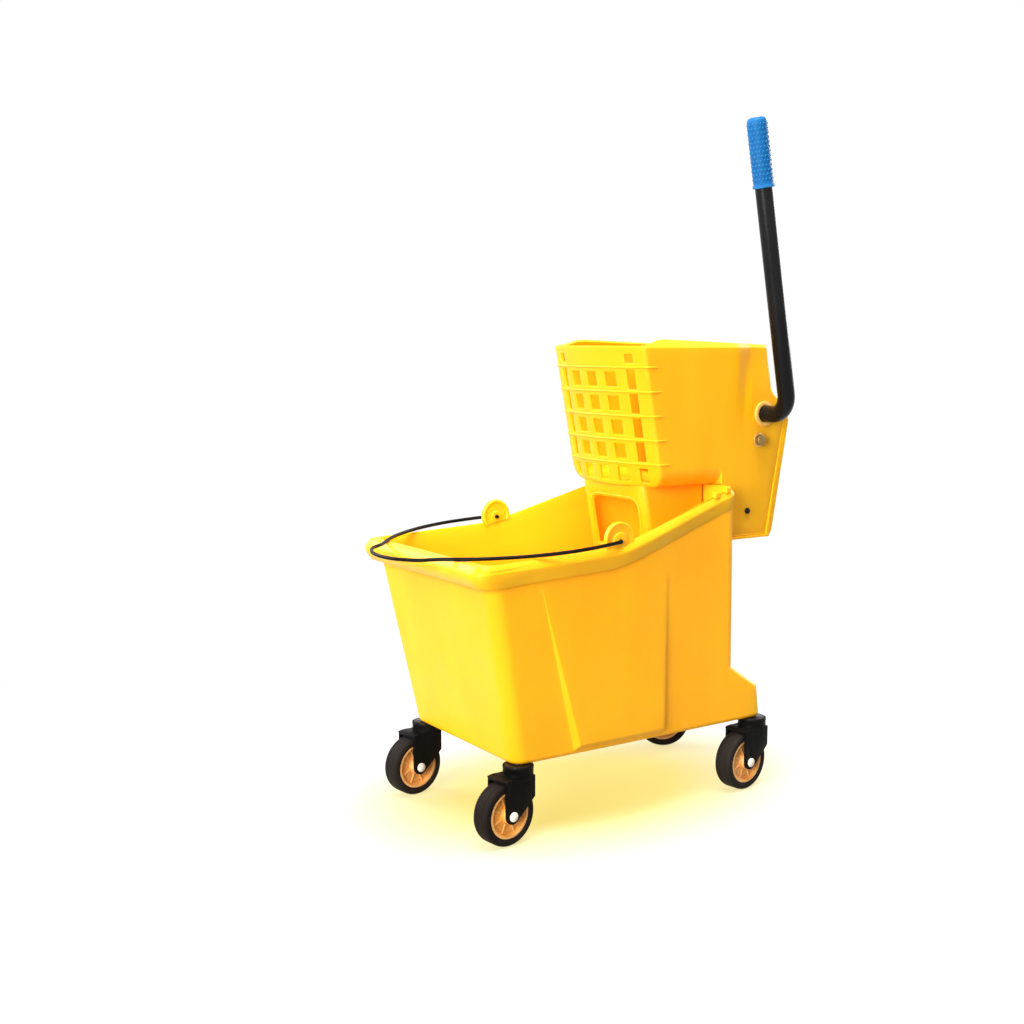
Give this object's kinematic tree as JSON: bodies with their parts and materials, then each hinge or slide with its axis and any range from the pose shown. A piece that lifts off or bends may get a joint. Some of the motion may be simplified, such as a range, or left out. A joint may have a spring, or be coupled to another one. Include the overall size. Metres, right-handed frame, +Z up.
{
  "type": "mop bucket with side-press wringer",
  "caption": "Wheeled mop bucket with a wire bail and a lift-off side-press wringer: grille basket, cranked lever and a press plate on a parallel linkage.",
  "frame": {"origin": "centre of the bounding box's underside, on the floor", "axes": "+X towards the rear (wringer end), -Y towards the lever side, +Z up"},
  "size_m": [0.5608, 0.3033, 0.8555],
  "materials": {
    "yellow_plastic": "moulded, semi-gloss",
    "black_nylon": "moulded, fine texture",
    "hub_plastic": "moulded, semi-gloss",
    "tyre_rubber": "satin",
    "blue_vinyl": "dotted soft vinyl",
    "black_paint": "powder coat, satin",
    "natural_nylon": "moulded, satin",
    "zinc_steel": "zinc plated",
    "spring_steel": "drawn wire",
    "black_wire": "dipped, semi-gloss",
    "black_rubber": "moulded, dull"
  },
  "bodies": {
    "bucket": {"bucket_shell": "yellow_plastic", "caster_mount_front_near": "black_paint", "caster_mount_front_far": "black_paint", "caster_mount_rear_near": "black_paint", "caster_mount_rear_far": "black_paint"},
    "bail": {"bail_wire": "black_wire"},
    "wringer": {"wringer_body": "yellow_plastic", "rear_cover": "yellow_plastic", "shaft_bush_near": "natural_nylon", "shaft_bush_far": "natural_nylon", "pivot_bolt_near": "zinc_steel", "pivot_bolt_far": "zinc_steel", "pivot_washer_near": "zinc_steel", "pivot_washer_far": "zinc_steel", "pivot_nut_near": "zinc_steel", "pivot_nut_far": "zinc_steel", "cover_screw_near": "black_paint", "cover_screw_far": "black_paint", "return_spring": "spring_steel", "rest_buffer_near": "black_rubber", "rest_buffer_far": "black_rubber"},
    "lever": {"lever_tube": "black_paint", "lever_grip": "blue_vinyl", "shaft_clip": "zinc_steel", "shaft_plug": "black_nylon", "crank_near": "zinc_steel", "crank_far": "zinc_steel", "crank_cross_pin_near": "zinc_steel", "crank_cross_pin_far": "zinc_steel"},
    "press_plate": {"press_plate": "yellow_plastic", "crank_pin_near": "zinc_steel", "crank_pin_far": "zinc_steel", "lower_pin_near": "zinc_steel", "lower_pin_far": "zinc_steel"},
    "followers": {"follower_near": "zinc_steel", "follower_far": "zinc_steel"},
    "swivel_front_near": {"caster_fork_front_near": "black_nylon", "caster_axle_front_near": "zinc_steel"},
    "wheel_front_near": {"wheel_hub_front_near": "hub_plastic", "wheel_tyre_front_near": "tyre_rubber"},
    "swivel_front_far": {"caster_fork_front_far": "black_nylon", "caster_axle_front_far": "zinc_steel"},
    "wheel_front_far": {"wheel_hub_front_far": "hub_plastic", "wheel_tyre_front_far": "tyre_rubber"},
    "swivel_rear_near": {"caster_fork_rear_near": "black_nylon", "caster_axle_rear_near": "zinc_steel"},
    "wheel_rear_near": {"wheel_hub_rear_near": "hub_plastic", "wheel_tyre_rear_near": "tyre_rubber"},
    "swivel_rear_far": {"caster_fork_rear_far": "black_nylon", "caster_axle_rear_far": "zinc_steel"},
    "wheel_rear_far": {"wheel_hub_rear_far": "hub_plastic", "wheel_tyre_rear_far": "tyre_rubber"}
  },
  "joints": [
    {"name": "bail_hinge", "type": "hinge", "parent": "bucket", "child": "bail", "pos_m": [-0.0325, 0, 0.349], "axis": [0, 1, 0], "range_deg": [0, 95]},
    {"name": "wringer_lift", "type": "slide", "parent": "bucket", "child": "wringer", "axis": [0, 0, 1], "range_m": [0, 0.15]},
    {"name": "lever_swing", "type": "hinge", "parent": "wringer", "child": "lever", "pos_m": [0.2355, 0, 0.49], "axis": [0, 1, 0], "range_deg": [0, 85], "stiffness_Nm_per_rad": 1.5, "springref_deg": -34.38},
    {"name": "plate_swing", "type": "hinge", "parent": "lever", "child": "press_plate", "pos_m": [0.25703, 0, 0.44487], "axis": [0, 1, 0], "range_deg": [-85, 0]},
    {"name": "follower_swing", "type": "hinge", "parent": "wringer", "child": "followers", "pos_m": [0.2275, 0, 0.456], "axis": [0, 1, 0], "range_deg": [0, 85]},
    {"name": "caster_swivel_front_near", "type": "hinge", "parent": "bucket", "child": "swivel_front_near", "pos_m": [-0.1575, -0.109, 0.085], "axis": [0, 0, 1], "continuous": true},
    {"name": "wheel_spin_front_near", "type": "hinge", "parent": "swivel_front_near", "child": "wheel_front_near", "pos_m": [-0.17934, -0.11168, 0.0375], "axis": [-0.1219, 0.9925, 0], "continuous": true},
    {"name": "caster_swivel_front_far", "type": "hinge", "parent": "bucket", "child": "swivel_front_far", "pos_m": [-0.1575, 0.109, 0.085], "axis": [0, 0, 1], "continuous": true},
    {"name": "wheel_spin_front_far", "type": "hinge", "parent": "swivel_front_far", "child": "wheel_front_far", "pos_m": [-0.17934, 0.10632, 0.0375], "axis": [-0.1219, 0.9925, 0], "continuous": true},
    {"name": "caster_swivel_rear_near", "type": "hinge", "parent": "bucket", "child": "swivel_rear_near", "pos_m": [0.213, -0.109, 0.085], "axis": [0, 0, 1], "continuous": true},
    {"name": "wheel_spin_rear_near", "type": "hinge", "parent": "swivel_rear_near", "child": "wheel_rear_near", "pos_m": [0.19116, -0.11168, 0.0375], "axis": [-0.1219, 0.9925, 0], "continuous": true},
    {"name": "caster_swivel_rear_far", "type": "hinge", "parent": "bucket", "child": "swivel_rear_far", "pos_m": [0.213, 0.109, 0.085], "axis": [0, 0, 1], "continuous": true},
    {"name": "wheel_spin_rear_far", "type": "hinge", "parent": "swivel_rear_far", "child": "wheel_rear_far", "pos_m": [0.22935, 0.09428, 0.0375], "axis": [-0.6691, -0.7431, 0], "continuous": true}
  ],
  "couplings": [
    {"joint": "plate_swing", "follows": "lever_swing", "ratio": -1},
    {"joint": "follower_swing", "follows": "lever_swing", "ratio": 1}
  ]
}
